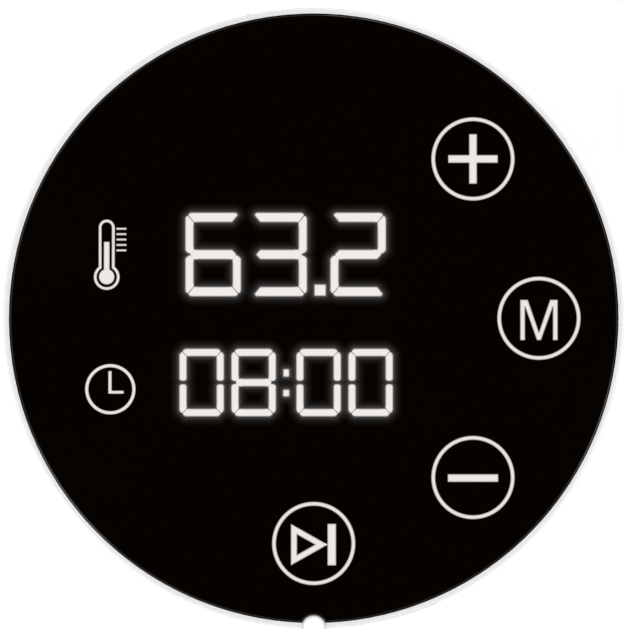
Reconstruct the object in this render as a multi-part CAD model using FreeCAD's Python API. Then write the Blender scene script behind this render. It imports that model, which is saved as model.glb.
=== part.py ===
"""Stick-type sous vide circulator: a round touch-panel head on a slim sealed body, with a pot clip behind.

Below the body a steel skirt and a twist-off base cap surround the heating coil and the impeller.
Millimetres, +Z up, origin at the centre of the base. The user stands at -Y and the pot clip is at +Y.
"""

import FreeCAD, Part
import math
import os

V = FreeCAD.Vector
UP = V(0, 0, 1)
ACROSS = V(1, 0, 0)
BACK = V(0, 1, 0)

# Driving dimensions
TOP_Z = 330.0  # top face of the glass
GLASS_R = 35.0
GLASS_T = 2.0
BEZEL_R = 35.8  # widest radius of the head
BAND_Z = 312.0  # the head is straight above this and narrows below it
TAPER_Z = 262.0  # foot of the narrowing
SLEEVE_R = 28.5
SHELL_WALL = 2.2
SEAM_Z = 258.0  # top of the body sleeve
FLOOR_Z = 261.0  # underside of the head shell
SHOULDER_Z = 170.0  # the skirt ends below this shoulder
SPIGOT_R = 25.9  # part of the sleeve that the skirt slips over
SKIRT_R = 27.0
SKIRT_WALL = 0.8
FLANGE_Z = 126.0  # wet side of the seal flange
FLANGE_TOP = FLANGE_Z + 5.8
CAP_H = 14.0
SHAFT_R = 2.5
RUNNING = 0.06  # radial clearance of the shaft in its bearings
SLIP = 0.1  # clearance between parts that are put together by hand
LEDGE_Z = 172.0  # ledge inside the sleeve that carries the motor

# Positions round the axis, in degrees from +X
SCREW_ANGLES = (90, 210, 330)
HEATER_ANGLES = (60, 120)
PROBE_ANGLE = 0
ELECTRODE_ANGLES = (172, 188)
KEY_ANGLES = (45, 0, -45, -90)
KEY_CIRCLE_R = 25.9
BOARD_SCREW_ANGLES = (22.5, 112.5, 180, 247.5)
BOARD_SCREW_CIRCLE = 28.5

INNER_R = SKIRT_R - SKIRT_WALL
GLASS_Z = TOP_Z - GLASS_T
BOSS_R = 3.2
LOW_BOSS_CIRCLE = 20.5
HIGH_BOSS_CIRCLE = 23.2
LEG_CIRCLE = 18.1
HEATER_R = 3.0
WIRE_CIRCLE = 22.0
BOARD_Z = 316.4  # underside of the display board
BOARD_TOP = BOARD_Z + 1.6

# Status light at the front edge of the glass
PIPE_R = 1.4
PIPE_Y = -35.6
PIPE_BOTTOM = 311.0
STEM_Z = 314.5

# Cord inlet at the back of the head
GLAND_Z = 290.0
GLAND_BORE_R = 3.6
GLAND_STEM_R = 6.0
GLAND_FACE_Y = 37.0
GLAND_SEAT_Y = 28.5

# Pot clip
PIVOT_Y = 38.5
PIVOT_Z = 210.0
PIN_R = 2.0
CLIP_HALF_W = 11.0
HUB_HALF_W = 7.6
SPRING_HALF_W = 4.2
PLATE_Y = 31.5
ARM_T = 3.4


def polar(r, degrees, z=0.0):
    a = math.radians(degrees)
    return V(r * math.cos(a), r * math.sin(a), z)


def rod(r, z0, z1, at=V(0, 0, 0)):
    """Upright cylinder between two heights."""
    return Part.makeCylinder(r, z1 - z0, V(at.x, at.y, z0), UP)


def ring(r_out, r_in, z0, z1, at=V(0, 0, 0)):
    return rod(r_out, z0, z1, at).cut(rod(r_in, z0 - 1, z1 + 1, at))


def spindle(r, axis, start, length):
    """Cylinder along any axis."""
    return Part.makeCylinder(r, length, start, axis)


def block(x0, x1, y0, y1, z0, z1):
    return Part.makeBox(x1 - x0, y1 - y0, z1 - z0, V(x0, y0, z0))


def turned(shape, degrees):
    """Copy of a shape turned about the stick's axis."""
    copy = shape.copy()
    copy.rotate(V(0, 0, 0), UP, degrees)
    return copy


def spread(shape, count, first=0.0):
    """Copies of a shape evenly spaced round the axis."""
    return [turned(shape, first + 360.0 * i / count) for i in range(count)]


def joined(shapes):
    whole = shapes[0]
    for shape in shapes[1:]:
        whole = whole.fuse(shape)
    return whole.removeSplitter()


def without(shape, cutters):
    for cutter in cutters:
        shape = shape.cut(cutter)
    return shape


def revolved(points):
    """Solid of revolution of a closed outline given as (radius, height) points."""
    outline = Part.makePolygon([V(r, 0, z) for r, z in points + points[:1]])
    return Part.Face(outline).revolve(V(0, 0, 0), UP, 360)


def upright_slot(width, z0, z1, r0=18.0, r1=32.0):
    """Cutter for a round-ended window through a wall on the +X side."""
    half = width / 2
    cutter = block(r0, r1, -half, half, z0 + half, z1 - half)
    ends = [spindle(half, ACROSS, V(r0, 0, z), r1 - r0) for z in (z0 + half, z1 - half)]
    return joined([cutter] + ends)


def rounded(shape, radius, chosen):
    """Fillets the edges that the test picks."""
    edges = [e for e in shape.Edges if chosen(e)]
    return shape.makeFillet(radius, edges)


def rim_at(r, z):
    """Test for the round edge of this radius at this height."""

    def chosen(edge):
        box = edge.BoundBox
        flat = abs(box.ZMin - z) < 0.01 and abs(box.ZMax - z) < 0.01
        return flat and abs(max(box.XMax, -box.XMin, box.YMax, -box.YMin) - r) < 0.01

    return chosen


def along(axis_name):
    """Test for straight edges that run along one row axis."""

    def chosen(edge):
        size = V(edge.BoundBox.XLength, edge.BoundBox.YLength, edge.BoundBox.ZLength)
        spans = {"x": size.x, "y": size.y, "z": size.z}
        mine = spans.pop(axis_name)
        return mine > 0.5 and max(spans.values()) < 0.01

    return chosen


def hexagon(r, axis, start, length):
    """Six-sided bar along any axis; r reaches its corners."""
    bar = Part.Face(Part.makePolygon([polar(r, a) for a in range(0, 361, 60)])).extrude(UP * length)
    bar.Placement = FreeCAD.Placement(start, FreeCAD.Rotation(UP, axis))
    return bar


def screw(head_r, head_h, shank_r, length, seat, direction):
    """Hex-socket screw: seat is the point under its head, direction the way its shank goes."""
    head = spindle(head_r, direction * -1, seat, head_h)
    drive = hexagon(head_r * 0.5, direction * -1, seat + direction * (-head_h * 0.45), head_h)
    shank = spindle(shank_r, direction, seat, length)
    return head.cut(drive).fuse(shank).removeSplitter()


def thick_line(points, thickness, half_width):
    """Strip of even thickness along points (y, z), with round corners, centred on x = 0."""
    pieces = []
    for (y0, z0), (y1, z1) in zip(points, points[1:]):
        run = V(0, y1 - y0, z1 - z0)
        length = run.Length
        bar = block(-half_width, half_width, -thickness / 2, thickness / 2, 0, length)
        bar.rotate(V(0, 0, 0), ACROSS, -math.degrees(math.atan2(y1 - y0, z1 - z0)))
        bar.translate(V(0, y0, z0))
        pieces.append(bar)
    for y, z in points:
        pieces.append(spindle(thickness / 2, ACROSS, V(-half_width, y, z), 2 * half_width))
    return joined(pieces)


def bend(r, start, direction, target, bend_r):
    """Pipe bend from one direction to another. Returns the solid and its end point."""
    normal = (target - direction * direction.dot(target)).normalize()
    centre = start + normal * bend_r
    angle = direction.getAngle(target)
    face = Part.Face(Part.Wire(Part.makeCircle(r, start, direction)))
    axis = direction.cross(normal)
    solid = face.revolve(centre, axis, math.degrees(angle))
    end = centre - normal * (bend_r * math.cos(angle)) + direction * (bend_r * math.sin(angle))
    return solid, end


def lead(points, r, bend_r):
    """Insulated wire along straight runs joined by bends."""
    pieces = []
    here = points[0]
    for corner, after in zip(points[1:], points[2:]):
        into = (corner - here).normalize()
        out = (after - corner).normalize()
        set_back = bend_r * math.tan(into.getAngle(out) / 2)
        start = corner - into * set_back
        pieces.append(spindle(r, into, here, (start - here).Length))
        solid, here = bend(r, start, into, out, bend_r)
        pieces.append(solid)
    last = points[-1] - here
    pieces.append(spindle(r, last, here, last.Length))
    return joined(pieces)


def save(name, *shapes):
    solids = [solid for shape in shapes for solid in shape.Solids]
    bad = [s for s in solids if not s.isValid() or s.Volume <= 0]
    shape = solids[0] if len(solids) == 1 else Part.makeCompound(solids)
    shape.exportStep(f"parts/{name}.step")
    print(f"{name}: {len(solids)} solids, {shape.Volume:.1f} mm3", "BAD" if bad else "")


# Skirt and base cap ---------------------------------------------------------------------------

DIMPLE_ANGLES = (30, 150, 270)
DIMPLE_R = 1.1
GROOVE_Z = 19.0
UNLOCK_TURN = 24.0  # the cap turns this far to free the dimples
PLUG_TOP = 24.5
PLUG_R = 26.0
CAP_WINDOWS = 12
OUTLET_WINDOWS = 10


def skirt_tube():
    """Steel tube with outlet windows by the impeller, inlet windows above them and locking dimples."""
    tube = ring(SKIRT_R, INNER_R, CAP_H + SLIP, SHOULDER_Z - SLIP)
    outlets = spread(upright_slot(5.0, 27.0, 47.0), OUTLET_WINDOWS, 18)
    inlets = spread(upright_slot(4.0, 66.0, 84.0), OUTLET_WINDOWS, 18)
    tube = without(tube, outlets + inlets)
    pip = spindle(DIMPLE_R, ACROSS, V(INNER_R - 1.0, 0, GROOVE_Z), 1.2)
    return joined([tube] + [turned(pip, a) for a in DIMPLE_ANGLES])


def locking_groove(angle):
    """L-shaped groove in the cap's plug: down from the rim, then round to the locked dimple."""
    end_room = 3.4
    section = block(PLUG_R - 1.2, PLUG_R + 1, 0, 0.001, GROOVE_Z - 1.45, GROOVE_Z + 1.45)
    face = max(section.Faces, key=lambda f: f.Area)
    sweep = face.revolve(V(0, 0, 0), UP, UNLOCK_TURN + 2 * end_room)
    entry = block(PLUG_R - 1.2, PLUG_R + 1, -1.5, 1.5, GROOVE_Z, PLUG_TOP + 1)
    start = angle - UNLOCK_TURN
    return [turned(sweep, start - end_room), turned(entry, start)]


def base_cap():
    """Pump cover that closes the skirt: side windows, a slotted floor and a hub for the shaft guide."""
    cap = revolved(
        [
            (0, 0),
            (SKIRT_R, 0),
            (SKIRT_R, CAP_H),
            (PLUG_R, CAP_H),
            (PLUG_R, PLUG_TOP - 0.6),
            (PLUG_R - 0.6, PLUG_TOP),
            (23.6, PLUG_TOP),
            (23.6, 2.6),
            (6.2, 2.6),
            (6.2, 13.0),
            (0, 13.0),
        ]
    )
    cap = rounded(cap, 1.8, rim_at(SKIRT_R, 0))
    windows = spread(upright_slot(5.0, 3.8, 11.6), CAP_WINDOWS)
    floor_slot = joined(
        [block(10.5, 20.0, -1.6, 1.6, -1, 4)] + [rod(1.6, -1, 4, V(x, 0, 0)) for x in (10.5, 20.0)]
    )
    grooves = [g for a in DIMPLE_ANGLES for g in locking_groove(a)]
    return without(cap, windows + spread(floor_slot, 8, 22.5) + grooves + [rod(4.05, 5.0, 14.0)])


# Body sleeve and head -------------------------------------------------------------------------

ORING_Z = 149.0
SEAM_ROUND = 0.4  # edge rounding either side of the seam ring
VENT_W = 1.8
VENT_ANGLES = (-18, -12, -6, 0, 6, 12, 18)  # air inlets beside the fan, on both sides of the sleeve
REAR_VENT_ANGLES = (-46, -40, -34, -28, 28, 34, 40, 46)  # air outlets either side of the cord inlet


def body_sleeve():
    """Sealed tube that holds the motor, with a thinner spigot below that the skirt slips over."""
    inner_low = 23.5
    inner_high = SLEEVE_R - 2.4
    groove_r = SPIGOT_R - 1.3
    sleeve = revolved(
        [
            (inner_low, FLANGE_TOP + 0.2),
            (SPIGOT_R, FLANGE_TOP + 0.2),
            (SPIGOT_R, ORING_Z - 1.1),
            (groove_r, ORING_Z - 1.1),
            (groove_r, ORING_Z + 1.1),
            (SPIGOT_R, ORING_Z + 1.1),
            (SPIGOT_R, SHOULDER_Z),
            (SLEEVE_R, SHOULDER_Z),
            (SLEEVE_R, SEAM_Z),
            (inner_high, SEAM_Z),
            (inner_high, LEDGE_Z),
            (inner_low, LEDGE_Z),
        ]
    )
    sleeve = rounded(sleeve, 1.0, rim_at(SLEEVE_R, SHOULDER_Z))
    sleeve = rounded(sleeve, SEAM_ROUND, rim_at(SLEEVE_R, SEAM_Z))
    low = [rod(BOSS_R, 139.4, LEDGE_Z, polar(LOW_BOSS_CIRCLE, a)) for a in SCREW_ANGLES]
    high = [rod(BOSS_R, 238.0, FLOOR_Z, polar(HIGH_BOSS_CIRCLE, a)) for a in SCREW_ANGLES]
    holes = [rod(1.45, 130.0, LEDGE_Z + 1, polar(LOW_BOSS_CIRCLE, a)) for a in SCREW_ANGLES]
    holes += [rod(1.45, 244.0, FLOOR_Z + 1, polar(HIGH_BOSS_CIRCLE, a)) for a in SCREW_ANGLES]
    holes += [spindle(1.5, BACK, V(0, 24, z), 6) for z in BRACKET_SCREW_Z]
    vent = upright_slot(VENT_W, 223.0, 237.0)
    holes += [turned(vent, a + side) for a in VENT_ANGLES for side in (0, 180)]
    return without(joined([sleeve] + low + high), holes)


def flared(inset, top_z, close_z):
    """Solid inset from the head's outer surface: a straight band over an S-shaped narrowing."""
    low_r = SLEEVE_R - inset
    high_r = BEZEL_R - inset
    mid_r = (low_r + high_r) / 2
    mid_z = (TAPER_Z + BAND_Z) / 2
    half_rise = mid_z - TAPER_Z
    sweep_r = (half_rise**2 + (mid_r - low_r) ** 2) / (2 * (mid_r - low_r))
    bulge = sweep_r - math.sqrt(sweep_r**2 - (half_rise / 2) ** 2)
    low_arc = Part.Arc(
        V(low_r, 0, TAPER_Z), V(low_r + bulge, 0, TAPER_Z + half_rise / 2), V(mid_r, 0, mid_z)
    )
    high_arc = Part.Arc(
        V(mid_r, 0, mid_z), V(high_r - bulge, 0, BAND_Z - half_rise / 2), V(high_r, 0, BAND_Z)
    )
    corners = [V(high_r, 0, BAND_Z), V(high_r, 0, top_z), V(0, 0, top_z), V(0, 0, close_z)]
    corners += [V(low_r, 0, close_z), V(low_r, 0, TAPER_Z)]
    edges = [low_arc.toShape(), high_arc.toShape()]
    edges += [Part.makeLine(a, b) for a, b in zip(corners, corners[1:]) if a != b]
    return Part.Face(Part.Wire(Part.__sortEdges__(edges))).revolve(V(0, 0, 0), UP, 360)


HEAD_TOP = 326.0
HEAD_FLOOR_T = 2.4


def light_channel():
    return rod(PIPE_R + 0.05, PIPE_BOTTOM - 0.1, TOP_Z + 1, V(0, PIPE_Y, 0))


def head_shell():
    """Flared head casing with a floor, a cord boss behind and a channel for the status light in front."""
    outer = rounded(flared(0, HEAD_TOP, FLOOR_Z), SEAM_ROUND, rim_at(SLEEVE_R, FLOOR_Z))
    cavity = flared(SHELL_WALL, HEAD_TOP + 1, FLOOR_Z + HEAD_FLOOR_T)
    boss = spindle(8.6, BACK, V(0, GLAND_SEAT_Y, GLAND_Z), GLAND_FACE_Y - GLAND_SEAT_Y)
    shell = joined([outer.cut(cavity), boss])
    stem_hole = spindle(1.1, BACK, V(0, PIPE_Y, STEM_Z), 6)
    cord_hole = spindle(GLAND_STEM_R + 0.05, BACK, V(0, 20, GLAND_Z), 20)
    screw_holes = [rod(1.7, FLOOR_Z - 1, 270, polar(HIGH_BOSS_CIRCLE, a)) for a in SCREW_ANGLES]
    wire_hole = rod(12.0, FLOOR_Z - 1, FLOOR_Z + 5)
    vents = [turned(upright_slot(VENT_W, 281.0, 299.0, 24.0, 40.0), 90 + a) for a in REAR_VENT_ANGLES]
    return without(shell, [light_channel(), stem_hole, cord_hole, wire_hole] + screw_holes + vents)


BEZEL_SEAT_Z = GLASS_Z - 0.4
SPIGOT_IN_HEAD_R = BEZEL_R - SHELL_WALL - SLIP


def bezel_ring():
    """Metal trim ring that carries the glass on a ledge and plugs into the head shell."""
    ring_solid = revolved(
        [
            (BEZEL_R, HEAD_TOP + SLIP),
            (BEZEL_R, TOP_Z),
            (GLASS_R + 0.05, TOP_Z),
            (GLASS_R + 0.05, BEZEL_SEAT_Z),
            (32.2, BEZEL_SEAT_Z),
            (32.2, 320.0),
            (SPIGOT_IN_HEAD_R, 320.0),
            (SPIGOT_IN_HEAD_R, HEAD_TOP + SLIP),
        ]
    )
    ring_solid = rounded(ring_solid, 0.55, rim_at(BEZEL_R, TOP_Z))
    return ring_solid.cut(light_channel())


def glass_gasket():
    return ring(GLASS_R - 0.2, 32.6, BEZEL_SEAT_Z, GLASS_Z).cut(light_channel())


def top_glass():
    disc = rod(GLASS_R, GLASS_Z, TOP_Z)
    disc = rounded(disc, 0.2, rim_at(GLASS_R, TOP_Z))
    return disc.cut(light_channel())


def status_light_pipe():
    """Clear light guide: an upright bar in the edge of the head, fed through a stem from the board."""
    bar = rod(PIPE_R, PIPE_BOTTOM, TOP_Z, V(0, PIPE_Y, 0))
    stem = spindle(1.0, BACK, V(0, PIPE_Y, STEM_Z), PIPE_Y * -1 - 30.3)
    return bar.fuse(stem).removeSplitter()


# Display stack --------------------------------------------------------------------------------

DISPLAY_X = -3.15  # middle of both rows of digits
MODULE_TOP = GLASS_Z - 0.8


def display_module(half_w, y0, y1):
    """Seven-segment display block with its window recessed on top."""
    case = block(DISPLAY_X - half_w, DISPLAY_X + half_w, y0, y1, BOARD_TOP, MODULE_TOP)
    window = block(
        DISPLAY_X - half_w + 1, DISPLAY_X + half_w - 1, y0 + 1, y1 - 1, MODULE_TOP - 0.5, MODULE_TOP + 1
    )
    return case.cut(window)


def display_board():
    board = rod(31.5, BOARD_Z, BOARD_TOP)
    return without(board, [rod(1.25, 310, 320, polar(BOARD_SCREW_CIRCLE, a)) for a in BOARD_SCREW_ANGLES])


def board_components():
    """Status light emitter facing the light pipe, the controller and the touch chip, all under the board."""
    chip_t = 1.4
    emitter = block(-1.6, 1.6, -30.1, -28.2, STEM_Z - 1.0, BOARD_Z)
    controller = block(-5.0, 5.0, -15.0, -6.0, BOARD_Z - chip_t, BOARD_Z)
    touch_chip = block(4.0, 12.0, 4.0, 10.0, BOARD_Z - chip_t, BOARD_Z)
    return [emitter, controller, touch_chip]


def touch_pads():
    """Sprung electrodes that stand between the board and the glass under each key."""
    return [rod(4.4, BOARD_TOP, GLASS_Z - SLIP, polar(KEY_CIRCLE_R, a)) for a in KEY_ANGLES]


def buzzer():
    at = V(-9.0, 9.5, 0)
    bottom = BOARD_Z - 7.0
    return rod(6.0, bottom, BOARD_Z, at).cut(rod(1.2, bottom - 1, bottom + 1, at))


def chassis_frame():
    """Plastic skeleton: a foot ring, two grooved posts for the power board and the display shelf."""
    foot = ring(25.4, 14.0, FLOOR_Z + HEAD_FLOOR_T, 266.0)
    shelf = ring(31.8, 20.0, BOARD_Z - 3.0, BOARD_Z)
    post = block(20.5, 24.0, -8.6, -3.4, 265.0, BOARD_Z - 2)
    posts = [post, post.mirror(V(0, 0, 0), ACROSS)]
    half_w = PCB_HALF_W + SLIP
    groove = block(-half_w, half_w, PCB_BACK_Y - SLIP, PCB_FRONT_Y + SLIP, 266.0, BOARD_Z - 3.0)
    light_gap = block(-3.0, 3.0, -33.0, -26.0, BOARD_Z - 4, BOARD_Z + 1)
    holes = [rod(1.6, 260, 270, polar(HIGH_BOSS_CIRCLE, a)) for a in SCREW_ANGLES]
    holes += [rod(1.15, BOARD_Z - 4, BOARD_Z + 1, polar(BOARD_SCREW_CIRCLE, a)) for a in BOARD_SCREW_ANGLES]
    return without(joined([foot, shelf] + posts), [groove, light_gap] + holes)


# Power board, upright on the chassis posts -----------------------------------------------------

PCB_HALF_W = 22.0
PCB_FRONT_Y = -5.2  # face with the tall components
PCB_BACK_Y = -6.8
PCB_Z0 = 268.0
PCB_Z1 = 308.0
TRIAC_Y = -10.5  # face of the triac that the heatsink bears on
FIN_COUNT = 7

# Box-shaped components: left and right edges, height off the board, lower and upper edges
PCB_BLOCKS = {
    "transformer": (-20.0, -6.0, 13.2, 270.0, 286.0),
    "relay": (4.5, 20.0, 12.7, 298.5, 307.5),
    "terminal_block": (-4.8, 3.2, 11.2, 289.0, 303.0),
    "film_capacitor": (4.5, 20.0, 9.2, 288.5, 297.0),
}


def pcb_block(name):
    left, right, height, low, high = PCB_BLOCKS[name]
    return block(left, right, PCB_FRONT_Y, PCB_FRONT_Y + height, low, high)


def power_board():
    return block(-PCB_HALF_W, PCB_HALF_W, PCB_BACK_Y, PCB_FRONT_Y, PCB_Z0, PCB_Z1)


def emi_choke():
    """Ring-shaped mains filter choke lying against the board."""
    wound_r = 2.9
    return Part.makeTorus(5.8, wound_r, V(11.5, PCB_FRONT_Y + wound_r, 279.0), BACK)


def electrolytic_capacitor():
    can_r = 6.3
    return rod(can_r, 289.5, 306.0, V(-12.5, PCB_FRONT_Y + can_r + SLIP, 0))


def triac():
    return block(-5.0, 5.0, TRIAC_Y, PCB_BACK_Y, 284.0, 299.0)


def heatsink():
    """Finned aluminium block on the back of the triac."""
    half_w = 14.0
    plate_t = 1.9
    fin_t = 1.2
    z0 = 274.0
    z1 = 300.0
    plate_y = TRIAC_Y - plate_t
    plate = block(-half_w, half_w, plate_y, TRIAC_Y, z0, z1)
    pitch = (2 * half_w - fin_t) / (FIN_COUNT - 1)
    lefts = [-half_w + pitch * i for i in range(FIN_COUNT)]
    fins = [block(x, x + fin_t, plate_y - 6.6, plate_y + 0.4, z0, z1) for x in lefts]
    return joined([plate] + fins)


def display_ribbon():
    """Flat cable from the power board up to the display board."""
    thickness = 0.5
    foot_y = PCB_FRONT_Y + thickness / 2 + SLIP
    route = [(foot_y, 304.0), (foot_y, 309.5), (0.4, 313.0), (0.4, BOARD_Z - thickness / 2 - SLIP)]
    return thick_line(route, thickness, 4.0)


# Seal flange, heater and sensors --------------------------------------------------------------

COIL_R = 11.7
COIL_PITCH = 8.5
COIL_BOTTOM = 46.0
COIL_BEND_R = 6.5
LEG_TOP = 142.0


def seal_flange():
    """Plate between the dry body and the water, with pockets for the shaft seal and the bearing."""
    plate = rod(SPIGOT_R, FLANGE_Z, FLANGE_TOP)
    plate = rounded(plate, 1.0, rim_at(SPIGOT_R, FLANGE_Z))
    flange = joined([plate, ring(23.2, 21.2, FLANGE_TOP - 1, 139.0), rod(9.0, FLANGE_TOP - 1, 140.0)])
    groove = ring(24.0, 22.0, 134.4, 136.6)
    cutters = [groove, rod(7.05, FLANGE_Z - 1, 131.0), rod(2.9, FLANGE_Z - 1, 141.0)]
    cutters += [rod(6.55, 133.6, 141.0)]
    cutters += [rod(HEATER_R + 0.05, 120, 150, polar(LEG_CIRCLE, a)) for a in HEATER_ANGLES]
    cutters += [rod(1.6, 120, 150, polar(LOW_BOSS_CIRCLE, a)) for a in SCREW_ANGLES]
    cutters += [rod(1.6, 120, 150, polar(19.0, a)) for a in ELECTRODE_ANGLES]
    cutters += [rod(2.05, 120, 150, polar(19.0, PROBE_ANGLE))]
    return without(flange, cutters)


def heater_element():
    """Sheathed heating tube: a coil round the shaft whose ends run outwards and up through the flange."""
    swing = math.degrees(math.acos(COIL_R / LEG_CIRCLE))
    start_angle = HEATER_ANGLES[0] + swing
    end_angle = HEATER_ANGLES[1] - swing
    turns = 4 + (end_angle - start_angle) / 360.0
    coil_top = COIL_BOTTOM + turns * COIL_PITCH
    helix = Part.makeHelix(COIL_PITCH, turns * COIL_PITCH, COIL_R)
    slope = math.atan(COIL_PITCH / (2 * math.pi * COIL_R))
    section = Part.Wire(Part.makeCircle(HEATER_R, V(COIL_R, 0, 0), V(0, math.cos(slope), math.sin(slope))))
    coil = Part.Wire(helix).makePipeShell([section], True, True)
    coil = turned(coil, start_angle)
    coil.translate(V(0, 0, COIL_BOTTOM))
    pieces = [coil]
    reach = math.sqrt(LEG_CIRCLE**2 - COIL_R**2)
    for angle, z, way in ((start_angle, COIL_BOTTOM, -1), (end_angle, coil_top, 1)):
        level = polar(1, angle + 90 * way)
        outward = level * math.cos(slope) + UP * (way * math.sin(slope))
        run = (reach - COIL_BEND_R * (1 - way * math.sin(slope))) / math.cos(slope)
        start = polar(COIL_R, angle, z)
        pieces.append(spindle(HEATER_R, outward, start, run))
        elbow, foot = bend(HEATER_R, start + outward * run, outward, UP, COIL_BEND_R)
        pieces.append(elbow)
        pieces.append(spindle(HEATER_R, UP, foot, LEG_TOP - foot.z))
    return joined(pieces)


def heater_ferrules():
    """Clamp rings that seal the heating tube under the flange."""
    places = [polar(LEG_CIRCLE, a) for a in HEATER_ANGLES]
    return [ring(4.8, HEATER_R + 0.02, FLANGE_Z - 3.4, FLANGE_Z, at) for at in places]


def heater_terminals():
    """Ceramic collar and welding pin on each end of the heating tube."""
    made = []
    for a in HEATER_ANGLES:
        at = polar(LEG_CIRCLE, a)
        made.append(rod(2.4, LEG_TOP, LEG_TOP + 3, at).fuse(rod(1.0, LEG_TOP + 3, LEG_TOP + 8, at)))
    return made


def temperature_probe():
    """Closed steel tube that dips into the water beside the coil."""
    at = polar(19.0, PROBE_ANGLE)
    tip_z = 72.0
    return rod(2.0, tip_z, 141.0, at).fuse(Part.makeSphere(2.0, V(at.x, at.y, tip_z))).removeSplitter()


def level_electrodes():
    """Two pins that sense the minimum water level, each in an insulating collar at the flange."""
    made = []
    for a in ELECTRODE_ANGLES:
        at = polar(19.0, a)
        made.append(joined([rod(0.9, 92.0, 143.0, at), rod(1.55, 121.0, 140.0, at)]))
    return made


def shaft_seal():
    """Rubber lip seal that stands in the flange's lower pocket."""
    return ring(7.0, SHAFT_R + RUNNING, FLANGE_Z + 0.2, 131.0).cut(ring(5.6, 3.6, FLANGE_Z, 128.6))


# Motor, shaft, impeller and fan ---------------------------------------------------------------

MOTOR_Z = 176.0
MOTOR_TOP = 222.0
MOTOR_R = 17.5
STATOR_TEETH = 6


def motor_mount():
    """Plate on the sleeve's ledge that carries the motor, with holes for the leads to pass."""
    plate = rod(SLEEVE_R - 2.5, LEDGE_Z + SLIP, 174.6)
    holes = [rod(7.0, 170, 176)]
    holes += [rod(1.6, 170, 176, polar(LOW_BOSS_CIRCLE, a)) for a in SCREW_ANGLES]
    holes += [rod(1.15, 170, 176, polar(12.0, a)) for a in SCREW_ANGLES]
    holes += [rod(1.5, 170, 176, polar(WIRE_CIRCLE, a)) for a in HEATER_ANGLES + (0, 180)]
    return without(plate, holes)


def motor_can():
    shell = ring(MOTOR_R, MOTOR_R - 1.0, MOTOR_Z, MOTOR_TOP)
    lid = ring(MOTOR_R, 4.6, MOTOR_TOP - 1.2, MOTOR_TOP)
    can = joined([shell, lid])
    return rounded(can, 0.8, rim_at(MOTOR_R, MOTOR_TOP))


def motor_end_plate():
    plate = ring(MOTOR_R - 1.1, 4.6, MOTOR_Z, 178.6)
    return without(plate, [rod(1.05, 175, 180, polar(12.0, a)) for a in SCREW_ANGLES])


STATOR_Z0 = 186.0
STATOR_Z1 = 212.0


def stator_core():
    """Laminated ring with open slots between its teeth."""
    slot = block(8.0, 14.2, -2.6, 2.6, 180, 220)
    return without(ring(MOTOR_R - 1.1, 9.6, STATOR_Z0, STATOR_Z1), spread(slot, STATOR_TEETH, 30))


def stator_windings():
    """Copper in the slots, joined by the end turns above and below the core."""
    fill = block(10.1, 13.9, -2.4, 2.4, STATOR_Z0 - 4, STATOR_Z1 + 4)
    below = ring(13.9, 10.3, STATOR_Z0 - 4, STATOR_Z0 - 0.1)
    above = ring(13.9, 10.3, STATOR_Z1 + 0.1, STATOR_Z1 + 4)
    return joined(spread(fill, STATOR_TEETH, 30) + [below, above])


def blade(root_r, tip_r, mid_z, chord_root, chord_tip, pitch_root, pitch_tip, thickness):
    """Twisted blade lofted from a steep root to a flatter tip, pointing along +X."""

    def section(r, chord, pitch):
        outline = Part.makePolygon(
            [
                V(r, -chord / 2, -thickness / 2),
                V(r, chord / 2, -thickness / 2),
                V(r, chord / 2, thickness / 2),
                V(r, -chord / 2, thickness / 2),
                V(r, -chord / 2, -thickness / 2),
            ]
        )
        outline.rotate(V(r, 0, 0), ACROSS, pitch)
        return outline

    solid = Part.makeLoft(
        [section(root_r, chord_root, pitch_root), section(tip_r, chord_tip, pitch_tip)], True
    )
    solid.translate(V(0, 0, mid_z))
    return solid


def impeller():
    """Four-blade propeller that drives the water past the coil."""
    hub = rounded(rod(6.0, 20.0, 33.0), 1.2, rim_at(6.0, 20.0))
    blades = spread(blade(4.8, 20.4, 26.5, 9.0, 15.0, 52, 24, 1.5), 4)
    return joined([hub] + blades).cut(rod(SHAFT_R + 0.01, 19, 34))


def cooling_fan():
    """Small fan on the motor's upper shaft end."""
    blades = spread(blade(3.8, 15.4, 229.0, 5.0, 7.5, 48, 30, 0.9), 7)
    return joined([rod(4.8, 225.0, 233.0)] + blades).cut(rod(SHAFT_R + 0.01, 224, 234))


# Pot clip -------------------------------------------------------------------------------------

BRACKET_SCREW_Z = (195.0, 225.0)
PAD_Z0 = 171.0
PAD_Z1 = 187.0
EAR_R = 6.0
THUMB_END = (44.4, 249.5)  # y and z of the thumb plate's upper end
RIDGE_COUNT = 6


def clip_bracket():
    """Saddle on the back of the sleeve with two ears for the lever's pin."""
    plate = block(-CLIP_HALF_W, CLIP_HALF_W, 22.0, PLATE_Y, 188.5, 232.0)
    plate = rounded(plate, 3.0, along("y"))
    ears = []
    for x0 in (-CLIP_HALF_W, HUB_HALF_W + 0.4):
        width = CLIP_HALF_W - HUB_HALF_W - 0.4
        ears.append(block(x0, x0 + width, 28.0, PIVOT_Y, PIVOT_Z - EAR_R, PIVOT_Z + EAR_R))
        ears.append(spindle(EAR_R, ACROSS, V(x0, PIVOT_Y, PIVOT_Z), width))
    pin_hole = spindle(PIN_R + 0.02, ACROSS, V(-20, PIVOT_Y, PIVOT_Z), 40)
    screw_holes = [spindle(1.5, BACK, V(0, 20, z), 20) for z in BRACKET_SCREW_Z]
    recesses = [spindle(3.0, BACK, V(0, PLATE_Y - 1.6, z), 5) for z in BRACKET_SCREW_Z]
    saddle = rod(SLEEVE_R + 0.02, 180, 240)
    return without(joined([plate] + ears), [saddle, pin_hole] + screw_holes + recesses)


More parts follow.
